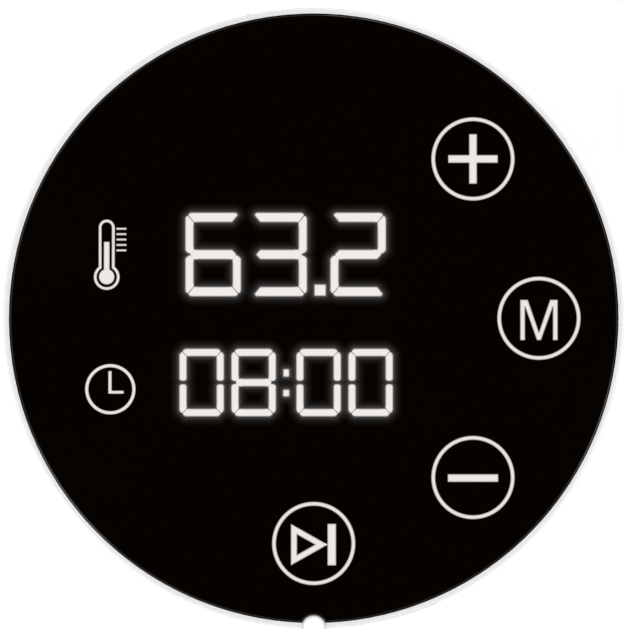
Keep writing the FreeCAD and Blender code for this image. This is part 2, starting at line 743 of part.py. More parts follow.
def thumb_ridges():
    """Places of the grip ridges along the outer face of the thumb plate."""
    run = V(0, THUMB_END[0] - PIVOT_Y, THUMB_END[1] - PIVOT_Z)
    way = run * (1 / run.Length)
    face = V(0, PIVOT_Y + way.z * ARM_T / 2, PIVOT_Z - way.y * ARM_T / 2)
    spots = [face + way * (run.Length - 2.0 - 3.0 * i) for i in range(RIDGE_COUNT)]
    return [(spot.y, spot.z) for spot in spots]


def clip_lever():
    """Two-armed lever: thumb plate above the pivot, and a cranked jaw below with room for a pot's rim."""
    hub = spindle(5.2, ACROSS, V(-HUB_HALF_W, PIVOT_Y, PIVOT_Z), 2 * HUB_HALF_W)
    thumb = thick_line([(PIVOT_Y, PIVOT_Z), THUMB_END], ARM_T, CLIP_HALF_W)
    thumb_top = THUMB_END[1] + ARM_T / 2
    outline = block(-CLIP_HALF_W, CLIP_HALF_W, 30.0, 50.0, thumb_top - 60.0, thumb_top)
    thumb = thumb.common(rounded(outline, 5.0, along("y")))
    ridges = [spindle(0.7, ACROSS, V(-8.5, y, z), 17.0) for y, z in thumb_ridges()]
    jaw_arm = thick_line([(PIVOT_Y, PIVOT_Z), (43.2, 199.0), (43.2, 190.0), (35.5, 180.0)], ARM_T, 9.0)
    jaw = rounded(block(-9.0, 9.0, 32.8, 36.0, PAD_Z0 - 1, PAD_Z1 + 1), 1.5, along("y"))
    lever = joined([hub, thumb, jaw_arm, jaw] + ridges)
    side = PIVOT_Z + 8.0
    ear_room = []
    for x0 in (-CLIP_HALF_W - 1, HUB_HALF_W):
        ear_room.append(block(x0, x0 + CLIP_HALF_W + 1 - HUB_HALF_W, 28.0, 50.0, PIVOT_Z - 7.6, side))
    spring_room = spindle(6.6, ACROSS, V(-SPRING_HALF_W, PIVOT_Y, PIVOT_Z), 2 * SPRING_HALF_W)
    bore = spindle(PIN_R + 0.05, ACROSS, V(-20, PIVOT_Y, PIVOT_Z), 40)
    return without(lever, ear_room + [spring_room, bore])


def clip_pin():
    """Hinge pin with a head at one end and a retaining ring at the other."""
    pin = spindle(PIN_R, ACROSS, V(-11.1, PIVOT_Y, PIVOT_Z), 24.2)
    head = spindle(3.4, ACROSS, V(-12.6, PIVOT_Y, PIVOT_Z), 1.5)
    retainer = spindle(3.2, ACROSS, V(11.1, PIVOT_Y, PIVOT_Z), 0.8)
    retainer = retainer.cut(spindle(PIN_R, ACROSS, V(11, PIVOT_Y, PIVOT_Z), 2))
    return [pin.fuse(head).removeSplitter(), retainer]


SPRING_R = 3.4
SPRING_WIRE_R = 0.55
SPRING_PITCH = 1.26
SPRING_TURNS = 4.875
THUMB_LEG = 9.9
THUMB_LEG_TILT = 15.2  # degrees from upright
PLATE_LEG = 5.2


def clip_spring():
    """Torsion spring round the pin: one leg bears on the thumb plate and the other on the bracket."""
    length = SPRING_TURNS * SPRING_PITCH
    section = Part.Wire(Part.makeCircle(SPRING_WIRE_R, V(SPRING_R, 0, 0), BACK))
    coil = Part.Wire(Part.makeHelix(SPRING_PITCH, length, SPRING_R)).makePipeShell([section], True, True)
    coil.translate(V(0, 0, -length / 2))
    ends = [V(SPRING_R, 0, -length / 2), polar(SPRING_R, 360 * SPRING_TURNS, length / 2)]
    ways = [V(0, -1, 0), polar(1, 360 * SPRING_TURNS + 90)]
    legs = [spindle(SPRING_WIRE_R, way, at, run) for way, at, run in zip(ways, ends, (THUMB_LEG, PLATE_LEG))]
    spring = joined([coil] + legs)
    # The coil's axis turns from Z to X, then the first leg turns up to the thumb plate.
    spring.rotate(V(0, 0, 0), BACK, 90)
    spring.rotate(V(0, 0, 0), ACROSS, -90 - THUMB_LEG_TILT)
    spring.translate(V(0, PIVOT_Y, PIVOT_Z))
    return spring


def body_pad():
    pad = rounded(block(-8.0, 8.0, 20.0, 30.6, PAD_Z0, PAD_Z1), 1.2, along("y"))
    return pad.cut(rod(SLEEVE_R + 0.01, 160, 200))


# Cord inlet -----------------------------------------------------------------------------------


def cord_gland():
    """Flanged bush through the head's cord boss; the cord itself isn't part of this model."""
    flange = spindle(7.6, BACK, V(0, GLAND_FACE_Y, GLAND_Z), 2.0)
    dome = Part.makeCone(6.4, 5.2, 1.5, V(0, GLAND_FACE_Y + 2.0, GLAND_Z), BACK)
    stem = spindle(GLAND_STEM_R, BACK, V(0, 24.0, GLAND_Z), GLAND_FACE_Y - 24.0)
    bore = spindle(GLAND_BORE_R, BACK, V(0, 20, GLAND_Z), 30)
    return joined([flange, dome, stem]).cut(bore)


def gland_nut():
    """Hexagonal nut on the gland's stem, inside the head."""
    nut = hexagon(8.6, BACK, V(0, 25.0, GLAND_Z), 3.4)
    return nut.cut(spindle(GLAND_STEM_R + 0.05, BACK, V(0, 20, GLAND_Z), 20))


# Leads ----------------------------------------------------------------------------------------


def wiring():
    """Leads of the heater, motor and sensors, clipped up the sleeve's wall to the power board."""
    made = []
    for a, x in zip(HEATER_ANGLES, (4.2, -4.2)):
        top = V(x, -3.4, 268.0)
        points = [polar(LEG_CIRCLE, a, 150.2), polar(LEG_CIRCLE, a, 156.0), polar(WIRE_CIRCLE, a, 164.0)]
        points += [polar(WIRE_CIRCLE, a, 247.0), V(top.x, 2.0, 256.0), top]
        made.append(lead(points, 1.1, 4.0))
    for a, x in ((0, 8.4), (180, -8.4)):
        points = [polar(19.0, a, 144.0), polar(19.0, a, 152.0), polar(WIRE_CIRCLE, a, 162.0)]
        points += [polar(WIRE_CIRCLE, a, 249.0), V(x, -2.0, 257.0), V(x, -3.4, 268.0)]
        made.append(lead(points, 0.9, 3.0))
    for a, x in ((-30, 1.4), (-150, -1.4)):
        points = [polar(MOTOR_R + 0.1, a, 214.0), polar(20.4, a, 214.0), polar(20.4, a, 234.0)]
        points += [V(x * 3, -8.6, 252.0), V(x, -3.4, 262.0), V(x, -3.4, 268.0)]
        made.append(lead(points, 0.8, 1.8))
    return made


# Fasteners ------------------------------------------------------------------------------------


def case_screws():
    """Head to sleeve, seal flange to sleeve and motor plate to ledge."""
    made = []
    for a in SCREW_ANGLES:
        made.append(screw(2.8, 2.0, 1.4, 18.0, polar(HIGH_BOSS_CIRCLE, a, 266.0), UP * -1))
        made.append(screw(2.6, 1.8, 1.4, 24.0, polar(LOW_BOSS_CIRCLE, a, FLANGE_Z), UP))
        made.append(screw(2.5, 1.8, 1.4, 10.0, polar(LOW_BOSS_CIRCLE, a, 174.6), UP * -1))
    return made


def bracket_screws():
    seats = [V(0, PLATE_Y - 1.6, z) for z in BRACKET_SCREW_Z]
    return [screw(2.8, 1.5, 1.4, 7.0, seat, BACK * -1) for seat in seats]


def small_screws():
    """Display board to chassis, and motor to its plate."""
    seats = [polar(BOARD_SCREW_CIRCLE, a, BOARD_TOP) for a in BOARD_SCREW_ANGLES]
    made = [screw(2.2, 1.4, 1.1, 4.0, seat, UP * -1) for seat in seats]
    made += [screw(2.1, 1.4, 1.0, 6.0, polar(12.0, a, LEDGE_Z + SLIP), UP) for a in SCREW_ANGLES]
    return made


def main():
    os.makedirs("parts", exist_ok=True)

    save("skirt_tube", skirt_tube())
    save("base_cap", base_cap())
    save("shaft_guide", ring(4.0, SHAFT_R + RUNNING, 5.0, 12.6))

    save("body_sleeve", body_sleeve())
    save("skirt_oring", Part.makeTorus(25.36, 0.72, V(0, 0, ORING_Z), UP))
    save("seam_ring", ring(SLEEVE_R - 0.15, 26.5, SEAM_Z, FLOOR_Z))
    save("head_shell", head_shell())
    save("bezel_ring", bezel_ring())
    save("glass_gasket", glass_gasket())
    save("top_glass", top_glass())
    save("status_light_pipe", status_light_pipe())
    save("cord_gland", cord_gland())
    save("gland_nut", gland_nut())

    save("display_board", display_board())
    save("board_components", *board_components())
    save("temperature_display", display_module(13.5, 0.8, 13.9))
    save("timer_display", display_module(14.2, -13.3, -1.6))
    save("touch_pads", *touch_pads())
    save("buzzer", buzzer())
    save("display_ribbon", display_ribbon())

    save("chassis_frame", chassis_frame())
    save("power_board", power_board())
    save("transformer", pcb_block("transformer"))
    save("emi_choke", emi_choke())
    save("capacitors", pcb_block("film_capacitor"), electrolytic_capacitor())
    save("relay", pcb_block("relay"))
    save("terminal_block", pcb_block("terminal_block"))
    save("triac", triac())
    save("heatsink", heatsink())

    save("seal_flange", seal_flange())
    save("flange_oring", Part.makeTorus(22.75, 0.73, V(0, 0, 135.5), UP))
    save("heater_element", heater_element())
    save("heater_ferrules", *heater_ferrules())
    save("heater_terminals", *heater_terminals())
    save("temperature_probe", temperature_probe())
    save("level_electrodes", *level_electrodes())
    save("shaft_seal", shaft_seal())
    save("shaft_bearing", ring(6.5, SHAFT_R + RUNNING, 133.6, 138.6))

    save("motor_mount", motor_mount())
    save("motor_isolator", ring(10.5, 7.5, 174.6, MOTOR_Z))
    save("motor_can", motor_can())
    save("motor_end_plate", motor_end_plate())
    save("motor_bearings", *[ring(4.55, SHAFT_R + RUNNING, z, z + 3.4) for z in (MOTOR_Z, MOTOR_TOP - 3.4)])
    save("stator_core", stator_core())
    save("stator_windings", stator_windings())
    save("rotor_magnet", ring(9.0, SHAFT_R + 0.01, 187.0, 211.0))
    save("drive_shaft", rod(SHAFT_R, 6.4, 236.0))
    save("impeller", impeller())
    save("shaft_clips", *[ring(4.2, SHAFT_R + 0.01, z, z + 0.8) for z in (18.9, 33.3)])
    save("cooling_fan", cooling_fan())

    save("clip_bracket", clip_bracket())
    save("clip_lever", clip_lever())
    save("clip_pin", *clip_pin())
    save("clip_spring", clip_spring())
    save("lever_pad", rounded(block(-8.0, 8.0, 31.0, 32.8, PAD_Z0, PAD_Z1), 1.2, along("y")))
    save("body_pad", body_pad())
    save("bracket_screws", *bracket_screws())

    save("wiring", *wiring())
    save("case_screws", *case_screws())
    save("small_screws", *small_screws())


main()
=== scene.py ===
import math

import bmesh
import bpy
import numpy as np
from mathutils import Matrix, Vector
from mathutils.geometry import delaunay_2d_cdt


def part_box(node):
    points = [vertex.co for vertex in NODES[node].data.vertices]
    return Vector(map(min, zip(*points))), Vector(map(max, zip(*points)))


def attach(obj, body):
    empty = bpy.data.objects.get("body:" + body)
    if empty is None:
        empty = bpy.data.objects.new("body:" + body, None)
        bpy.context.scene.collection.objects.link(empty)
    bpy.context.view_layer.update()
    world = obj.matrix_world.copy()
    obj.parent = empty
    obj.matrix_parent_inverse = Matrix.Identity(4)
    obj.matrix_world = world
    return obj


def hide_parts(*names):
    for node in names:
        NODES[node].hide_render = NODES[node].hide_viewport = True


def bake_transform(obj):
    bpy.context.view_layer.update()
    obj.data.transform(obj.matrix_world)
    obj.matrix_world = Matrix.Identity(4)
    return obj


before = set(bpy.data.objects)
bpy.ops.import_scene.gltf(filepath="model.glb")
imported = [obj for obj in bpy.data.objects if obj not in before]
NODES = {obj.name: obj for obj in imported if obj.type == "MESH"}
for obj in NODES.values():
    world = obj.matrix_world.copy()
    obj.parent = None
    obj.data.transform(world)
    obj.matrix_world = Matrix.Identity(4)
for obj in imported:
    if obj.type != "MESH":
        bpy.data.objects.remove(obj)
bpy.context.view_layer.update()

MM = 0.001

# Sizes in millimetres. The panel's own places are measured from the middle of the glass: +X right, +Y away.
MARK_PROUD = 0.03  # the printed and lit marks stand this far above the glass
MARK_SUNK = 0.02  # and start this far below its surface
KEY_CIRCLE = 25.9  # radius of the circle that the four keys' middles lie on
KEY_RING_R = 4.80
KEY_RING_W = 0.47
PIPE_ROOM = 0.05  # space between the glass and the light guide
FAR = 3.0  # clearances are found no farther than this

# A mark is dimmer in a rim inside its edges, except where the next mark's light fills the rim
SOFT_RIM = 0.15
ICON_RIM = 0.11
FILL_REACH = 0.32  # marks farther apart than this don't fill each other's rims
FILL_FADE = 0.15
FILL_MOST = 0.85

# Light that spills round the lit figures: a narrow bright fringe, and a wide faint veil
FRINGE = 0.085
FRINGE_FALL = 0.16
FRINGE_REACH = 2.0
VEIL = 0.0105
VEIL_CURVE = 1.1
GLOW_REACH = 1.1

# Points on the glass that carry the glow: the grid's step, and the clearances it starts and ends at
GLOW_GRIDS = (
    (0.10, 0.0, 0.3),
    (0.23, 0.3, GLOW_REACH + 0.2),
    (1.7, GLOW_REACH + 0.8, FAR),
)

LIT = (0.871, 0.838, 0.812)
# The printed icons and key rings glow with this colour: painted light, not ink lit by the lamps
ICON_GLOW = (0.84, 0.81, 0.785)
PANEL_BLACK = (0.0019, 0.0008, 0.0)

GLASS_LOW, GLASS_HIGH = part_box("top_glass")
TOP = GLASS_HIGH.z / MM
GLASS_R = (GLASS_HIGH.x - GLASS_LOW.x) / 2 / MM
GLASS_BOTTOM = GLASS_LOW.z / MM
GLASS_TOP = TOP - MARK_PROUD
PIPE_LOW, PIPE_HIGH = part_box("status_light_pipe")
PIPE_R = (PIPE_HIGH.x - PIPE_LOW.x) / 2 / MM
PIPE_Y = PIPE_LOW.y / MM + PIPE_R


# Node-building helpers --------------------------------------------------------------------------


class Finish:
    """A procedural material: a Principled shader and the nodes that feed it."""

    def __init__(self, name, color, roughness=0.5, metallic=0.0, **sockets):
        self.material = bpy.data.materials.new(name)
        self.material.use_nodes = True
        self.tree = self.material.node_tree
        self.shader = self.tree.nodes["Principled BSDF"]
        self.set("Base Color", color)
        self.set("Roughness", roughness)
        self.set("Metallic", metallic)
        for socket, value in sockets.items():
            self.set(socket.replace("_", " "), value)
        self.place = self.node("ShaderNodeTexCoord").outputs["Object"]

    def set(self, socket, value):
        if isinstance(value, tuple) and len(value) == 3:
            value = (*value, 1.0)
        self.shader.inputs[socket].default_value = value

    def feed(self, socket, output):
        self.tree.links.new(output, self.shader.inputs[socket])

    def node(self, kind, inputs=None, **settings):
        made = self.tree.nodes.new(kind)
        for key, value in settings.items():
            setattr(made, key, value)
        for key, value in (inputs or {}).items():
            if isinstance(value, bpy.types.NodeSocket):
                self.tree.links.new(value, made.inputs[key])
            else:
                made.inputs[key].default_value = value
        return made

    def math(self, operation, a, b=0.0):
        return self.node("ShaderNodeMath", {0: a, 1: b}, operation=operation).outputs[0]

    def stretch(self, scale):
        """The object's own coordinates, scaled per axis."""
        return self.node("ShaderNodeMapping", {"Vector": self.place, "Scale": scale}).outputs[0]

    def noise(self, scale, detail=3.0, vector=None, roughness=0.55):
        made = self.node(
            "ShaderNodeTexNoise",
            {"Vector": vector or self.place, "Scale": scale, "Detail": detail, "Roughness": roughness},
        )
        return made.outputs["Fac"]

    def spread(self, value, low, high, start=0.3, end=0.7):
        """Maps a texture's value to a range."""
        ranges = {"Value": value, "From Min": start, "From Max": end, "To Min": low, "To Max": high}
        return self.node("ShaderNodeMapRange", ranges).outputs[0]

    def blend(self, value, first, second):
        """Colour between two colours."""
        made = self.node("ShaderNodeMix", data_type="RGBA")
        self.tree.links.new(value, made.inputs[0])
        for slot, color in ((6, first), (7, second)):
            if isinstance(color, tuple):
                made.inputs[slot].default_value = (*color, 1.0)
            else:
                self.tree.links.new(color, made.inputs[slot])
        return made.outputs[2]

    def axis(self, name, vector=None):
        split = self.node("ShaderNodeSeparateXYZ", {0: vector or self.place})
        return split.outputs[name]

    def bump(self, height, depth_mm, strength=1.0):
        inputs = {"Height": height, "Distance": depth_mm * MM, "Strength": strength}
        self.feed("Normal", self.node("ShaderNodeBump", inputs).outputs[0])


def shade(color, factor):
    return tuple(channel * factor for channel in color)


def moulded(name, color, roughness=0.5, grain=1500.0, depth=0.02, **sockets):
    """Moulded plastic: fine grain in the surface and slow drift in colour and gloss."""
    finish = Finish(name, color, roughness, **sockets)
    drift = finish.noise(45.0, 2.0)
    finish.feed("Base Color", finish.blend(drift, shade(color, 0.86), shade(color, 1.14)))
    fine = finish.noise(grain, 2.0)
    finish.feed("Roughness", finish.spread(fine, roughness - 0.06, roughness + 0.06))
    finish.bump(fine, depth, 0.6)
    return finish


def brushed(name, color, roughness=0.3, lines=(6.0, 6.0, 900.0), depth=0.004, **sockets):
    """Metal with fine parallel scratches; the axis with the large scale is the one across the lines."""
    finish = Finish(name, color, roughness, 1.0, **sockets)
    streaks = finish.noise(4.0, 4.0, finish.stretch(lines), 0.7)
    broad = finish.noise(30.0, 2.0)
    finish.feed("Base Color", finish.blend(streaks, shade(color, 0.84), shade(color, 1.08)))
    smudge = finish.spread(broad, 0.0, 0.05)
    rough = finish.math("ADD", finish.spread(streaks, roughness - 0.07, roughness + 0.08), smudge)
    finish.feed("Roughness", rough)
    finish.bump(streaks, depth, 0.7)
    return finish


def assign(node, finish):
    target = NODES[node].data
    target.materials.clear()
    target.materials.append(finish.material)


# Meshes -----------------------------------------------------------------------------------------


def add_piece(name, mesh, body, finish, smooth_below=None):
    """Registers a mesh, whose coordinates are in millimetres, as a piece on a body."""
    for vertex in mesh.vertices:
        vertex.co *= MM
    mesh.materials.append(finish.material)
    piece = bpy.data.objects.new(name, mesh)
    bpy.context.scene.collection.objects.link(piece)
    if smooth_below:
        mesh.shade_smooth()
        mesh.set_sharp_from_angle(angle=math.radians(smooth_below))
    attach(piece, body)
    return piece


def arc(centre, radius, start, end, count):
    """Points along an arc, in degrees, both ends included."""
    angles = [math.radians(start + (end - start) * i / (count - 1)) for i in range(count)]
    return [(centre[0] + radius * math.cos(a), centre[1] + radius * math.sin(a)) for a in angles]


def circle(centre, radius, count=96):
    return arc(centre, radius, 0, 360, count + 1)[:-1]


def bar(x0, x1, y0, y1):
    return [(x0, y0), (x1, y0), (x1, y1), (x0, y1)]


def eased(outline, radius):
    """The outline with its corners rounded by short curves."""
    made = []
    count = len(outline)
    for i, corner in enumerate(outline):
        here = Vector(corner)
        before = Vector(outline[i - 1]) - here
        after = Vector(outline[(i + 1) % count]) - here
        reach = min(radius, before.length * 0.45, after.length * 0.45)
        start = here + before.normalized() * reach
        end = here + after.normalized() * reach
        for t in (0.0, 0.25, 0.5, 0.75, 1.0):
            point = start * (1 - t) ** 2 + here * (2 * t * (1 - t)) + end * t**2
            made.append((point.x, point.y))
    return made


def stepped(outline, reach=0.35):
    """The outline with a point added near both ends of long sides, so that light at a corner stays there."""
    made = []
    for start, end in zip(outline, outline[1:] + outline[:1]):
        side = Vector(end) - Vector(start)
        made.append(start)
        if side.length > 2.5 * reach:
            step = side.normalized() * reach
            made += [tuple(Vector(start) + step), tuple(Vector(end) - step)]
    return made


def distance_to(outline, points):
    """Distance from each point to the nearest edge of a closed outline, 0 for a point inside it."""
    best = np.full(len(points), 1e9)
    within = np.zeros(len(points), bool)
    x, y = points[:, 0], points[:, 1]
    for (x0, y0), (x1, y1) in zip(outline, outline[1:] + outline[:1]):
        across, up = x1 - x0, y1 - y0
        t = np.clip(((x - x0) * across + (y - y0) * up) / (across**2 + up**2), 0, 1)
        best = np.minimum(best, np.hypot(x - x0 - t * across, y - y0 - t * up))
        if up:
            within ^= ((y0 > y) != (y1 > y)) & (x < across * (y - y0) / up + x0)
    best[within] = 0.0
    return best


def nearest_of(outlines, points, reach):
    """Distance from each point to the nearest outline, found only where it's less than the reach."""
    near = np.full(len(points), reach)
    for outline in outlines:
        low, high = np.min(outline, axis=0) - reach, np.max(outline, axis=0) + reach
        close = np.flatnonzero(np.all((points > low) & (points < high), axis=1))
        near[close] = np.minimum(near[close], distance_to(outline, points[close]))
    return near


def filled(loops):
    """Flat triangles inside the first loop and outside the others, facing up."""
    points = []
    edges = []
    for loop in loops:
        first = len(points)
        points += [Vector(point) for point in loop]
        edges += [(first + i, first + (i + 1) % len(loop)) for i in range(len(loop))]
    made, _, triangles = delaunay_2d_cdt(points, edges, [], 1, 1e-6)[:3]
    part = bmesh.new()
    corners = [part.verts.new((point.x, point.y, 0.0)) for point in made]
    for triangle in triangles:
        centre = np.array([sum((made[i] for i in triangle), Vector((0, 0))) / 3])
        inside = distance_to(loops[0], centre)[0] == 0
        if inside and all(distance_to(hole, centre)[0] > 0 for hole in loops[1:]):
            part.faces.new([corners[i] for i in triangle])
    part.normal_update()
    return part


def flat_solid(shapes, soft):
    """Thin solid marks, from just inside the glass to a proud top.

    A shape is a list of loops: its outside, then its holes. The attribute "core" says how bright a place is:
    1 inside the shape, falling over the soft width to 0 at an edge, or less far where the next shape's light
    fills it.
    """
    mesh = bpy.data.meshes.new("mark")
    work = bmesh.new()
    work.verts.layers.float.new("core")
    for shape in shapes:
        part = filled([stepped(loop) for loop in shape])
        core = part.verts.layers.float.new("core")
        faces = part.faces[:]
        bmesh.ops.inset_region(part, faces=faces, thickness=soft, use_boundary=True, use_even_offset=True)
        rim = {vertex for edge in part.edges if edge.is_boundary for vertex in edge.verts}
        # A shape with a hole goes round the others, so its outline says nothing about how near it is
        others = [other[0] for other in shapes if other is not shape and len(other) == 1]
        for vertex in part.verts:
            vertex[core] = 1.0
            if vertex in rim:
                place = np.array([vertex.co[:2]])
                gap = min((distance_to(other, place)[0] for other in others), default=1.0)
                vertex[core] = min(max((FILL_REACH - gap) / FILL_FADE, 0.0), 1.0) * FILL_MOST
            vertex.co.z = TOP
        edges = [edge for edge in part.edges if edge.is_boundary]
        wall = bmesh.ops.extrude_edge_only(part, edges=edges)["geom"]
        for vertex in wall:
            if isinstance(vertex, bmesh.types.BMVert):
                vertex.co.z = GLASS_TOP - MARK_SUNK
                vertex[core] = 0.0
        bmesh.ops.recalc_face_normals(part, faces=part.faces)
        part.to_mesh(mesh)
        part.free()
        work.from_mesh(mesh)
    work.to_mesh(mesh)
    work.free()
    return mesh


# Digits -----------------------------------------------------------------------------------------

# Which of the seven segments each figure lights
FIGURES = {
    "0": ("top", "left_high", "right_high", "left_low", "right_low", "bottom"),
    "2": ("top", "right_high", "middle", "left_low", "bottom"),
    "3": ("top", "right_high", "middle", "right_low", "bottom"),
    "6": ("top", "left_high", "middle", "left_low", "right_low", "bottom"),
    "8": ("top", "left_high", "right_high", "middle", "left_low", "right_low", "bottom"),
}
MIRRORED = {"left_low": "left_high", "right_low": "right_high", "bottom": "top"}


class DigitRow:
    """A row of seven-segment figures: sizes of one cell, and how its segments meet."""

    def __init__(self, y, width, height, level, upright, chamfer, gap, split, tip, rounding, cells):
        self.y = y  # bottom of the row
        self.width = width
        self.height = height
        self.level = level  # thickness of the level segments
        self.upright = upright  # thickness of the upright segments
        self.chamfer = chamfer
        self.gap = gap  # half the slit at a mitre
        self.split = split  # half the space between an upper and a lower upright
        self.tip = tip  # blunt half-width of the uprights' ends there
        self.rounding = rounding
        self.cells = cells  # each figure and its cell's left edge

    def segment(self, name):
        """Outline of one segment in a cell whose lower left corner is the origin."""
        if name in MIRRORED:
            return [(x, self.height - y) for x, y in reversed(self.segment(MIRRORED[name]))]
        if name == "right_high":
            return [(self.width - x, y) for x, y in reversed(self.segment("left_high"))]
        w, h, t, u, c, g = self.width, self.height, self.level, self.upright, self.chamfer, self.gap
        middle = h / 2
        if name == "top":
            left = [(c, h), (c / 2 + g, h - c / 2 + g), (u + g, h - t)]
        elif name == "middle":
            left = [(u + g, middle + t / 2), (u / 2 + g, middle), (u + g, middle - t / 2)]
        else:
            shoulder = middle + self.split + u / 2 - self.tip
            outer = [(c / 2 - g, h - c / 2 - g), (0.0, h - c), (0.0, shoulder)]
            inner = [(u / 2 - self.tip, middle + self.split), (u / 2 + self.tip, middle + self.split)]
            return outer + inner + [(u, shoulder), (u, h - t - g)]
        return left + [(w - x, y) for x, y in reversed(left)]

    def figure(self, index):
        """Outlines of a figure's lit segments."""
        text, left = self.cells[index]
        outlines = [eased(self.segment(name), self.rounding) for name in FIGURES[text]]
        return [[(x + left, y + self.y) for x, y in outline] for outline in outlines]


TEMPERATURE = DigitRow(
    y=2.50,
    width=6.44,
    height=9.66,
    level=1.12,
    upright=0.99,
    chamfer=0.60,
    gap=0.035,
    split=0.13,
    tip=0.17,
    rounding=0.16,
    cells=(("6", -14.78), ("3", -7.19), ("2", 1.89)),
)
TIMER = DigitRow(
    y=-11.30,
    width=5.17,
    height=7.82,
    level=0.90,
    upright=0.88,
    chamfer=0.66,
    gap=0.025,
    split=0.17,
    tip=0.24,
    rounding=0.22,
    cells=(("0", -15.47), ("8", -9.49), ("0", -2.02), ("0", 3.96)),
)
POINT = bar(0.06, 1.42, 2.56, 3.90)
COLON_X = -3.16
COLON_DOTS = ((-6.29, 0.36, 0.46), (-8.60, 0.38, 0.42))  # each dot's middle, half-width and half-height


def lit_groups():
    """Name and outlines of everything that glows, one group per figure."""
    groups = [("decimal_point", [eased(POINT, 0.16)])]
    for row, name in ((TEMPERATURE, "temperature"), (TIMER, "timer")):
        groups += [(f"{name}_figure_{i + 1}", row.figure(i)) for i in range(len(row.cells))]
    dots = [bar(COLON_X - w, COLON_X + w, y - h, y + h) for y, w, h in COLON_DOTS]
    groups.append(("timer_colon", [eased(dot, 0.2) for dot in dots]))
    return groups


LIT_GROUPS = lit_groups()
ALL_LIT = [outline for _, outlines in LIT_GROUPS for outline in outlines]


# Icons ------------------------------------------------------------------------------------------


SYMBOL_ROUNDING = 0.08


def ring_mark(centre, outer, width):
    return [circle(centre, outer), circle(centre, outer - width)]


def moved(outline, x, y):
    return [(x + px, y + py) for px, py in outline]


def quarter_turns(point, count):
    x, y = point
    for _ in range(count % 4):
        x, y = -y, x
    return x, y


def plus_mark(x, y):
    reach = 2.86
    half = 0.455
    arm = [(half, half), (reach, half), (reach, -half)]
    cross = []
    for turn in range(4):
        cross += [quarter_turns(point, -turn) for point in arm]
    return [[eased(moved(cross, x, y), SYMBOL_ROUNDING)]]


def minus_mark(x, y):
    half_w = 2.91
    below = 0.51
    above = 0.39
    return [[eased(bar(x - half_w, x + half_w, y - below, y + above), SYMBOL_ROUNDING)]]


def mode_mark(x, y):
    """Plain capital letter M made of two stems and a V."""
    half_w = 2.16
    half_h = 2.33
    stem = 0.56
    cap = 0.88  # width of each stem's top, where the V joins it
    dip = 0.82  # how far below the top the V leaves the stem
    foot = 0.23  # half the width of the V's blunt tip
    notch = 0.92  # how far above the bottom the V's inner sides meet
    mid = y - 0.2
    left = [(-foot, -half_h), (stem - half_w, half_h - dip), (stem - half_w, -half_h), (-half_w, -half_h)]
    left += [(-half_w, half_h), (cap - half_w, half_h)]
    outline = left + [(0.0, notch - half_h)] + [(-px, py) for px, py in reversed(left)]
    return [[eased(moved(outline, x, mid), 0.05)]]


def play_mark(x, y):
    """Outlined triangle whose tip meets a bar."""
    left = x - 2.63
    tip = x + 1.62
    half_h = 2.40
    mid = y - 0.13
    hole_left = left + 0.72
    hole_tip = left + 2.78
    hole_half_h = 1.16
    triangle = [(left, mid - half_h), (tip, mid), (left, mid + half_h)]
    hole = [(hole_left, mid - hole_half_h), (hole_tip, mid), (hole_left, mid + hole_half_h)]
    upright = bar(x + 1.58, x + 2.58, mid - half_h, mid + half_h)
    return [[eased(triangle, 0.1), hole], [eased(upright, SYMBOL_ROUNDING)]]


def thermometer_marks():
    """Outline of the tube and bulb, the column inside it and the scale's five ticks."""
    x = -23.80
    bulb_y = 4.74
    bulb_r = 1.50
    tube_half = 0.93
    tube_top = 11.36
    wall = 0.34
    column_top = 8.80
    column_half = 0.335
    column_r = 0.90
    tick_left = x + 1.10
    tick_right = x + 2.28
    tick_half = 0.125
    highest_tick = 10.29
    tick_pitch = 0.621

    def bulb(half, radius, centre_y):
        join = math.degrees(math.acos(half / radius))
        return arc((x, centre_y), radius, 180 - join, 360 + join, 41)

    def shape(inset):
        half = tube_half - inset
        return arc((x, tube_top - tube_half), half, 0, 180, 17) + bulb(half, bulb_r - inset, bulb_y)

    column = [(x + column_half, column_top), (x - column_half, column_top)]
    column += bulb(column_half, column_r, bulb_y + 0.03)
    levels = [highest_tick - tick_pitch * i for i in range(5)]
    ticks = [bar(tick_left, tick_right, y - tick_half, y + tick_half) for y in levels]
    return [[shape(0.0), shape(wall)], [column]] + [[eased(tick, 0.06)] for tick in ticks]


def clock_marks():
    """Ring with the two hands in one outline."""
    x = -23.385
    y = -8.165
    outer = 2.91
    wall = 0.40
    hands = [(-0.24, -0.52), (1.55, -0.52), (1.55, -0.16), (0.16, -0.16), (0.16, 2.1), (-0.24, 2.1)]
    return [ring_mark((x, y), outer, wall), [eased(moved(hands, x, y), SYMBOL_ROUNDING)]]


def key_marks():
    """The four keys' rings, each with its symbol."""
    keys = (
        ("plus", 45, plus_mark),
        ("mode", 0, mode_mark),
        ("minus", -45, minus_mark),
        ("play", -90, play_mark),
    )
    made = []
    for name, angle, symbol in keys:
        x = KEY_CIRCLE * math.cos(math.radians(angle))
        y = KEY_CIRCLE * math.sin(math.radians(angle))
        made.append((f"key_{name}", [ring_mark((x, y), KEY_RING_R, KEY_RING_W)] + symbol(x, y)))
    return made


# Glass ------------------------------------------------------------------------------------------


def glow_at(points):
    """Light that spills round the figures: a bright fringe, and a faint veil that adds up between figures."""
    fringe = FRINGE * np.exp(-nearest_of(ALL_LIT, points, FRINGE_REACH) / FRINGE_FALL)
    veil = np.zeros(len(points))
    for _, outlines in LIT_GROUPS:
        near = nearest_of(outlines, points, GLOW_REACH)
        veil += VEIL * np.clip(1 - near / GLOW_REACH, 0, 1) ** VEIL_CURVE
    return fringe + veil


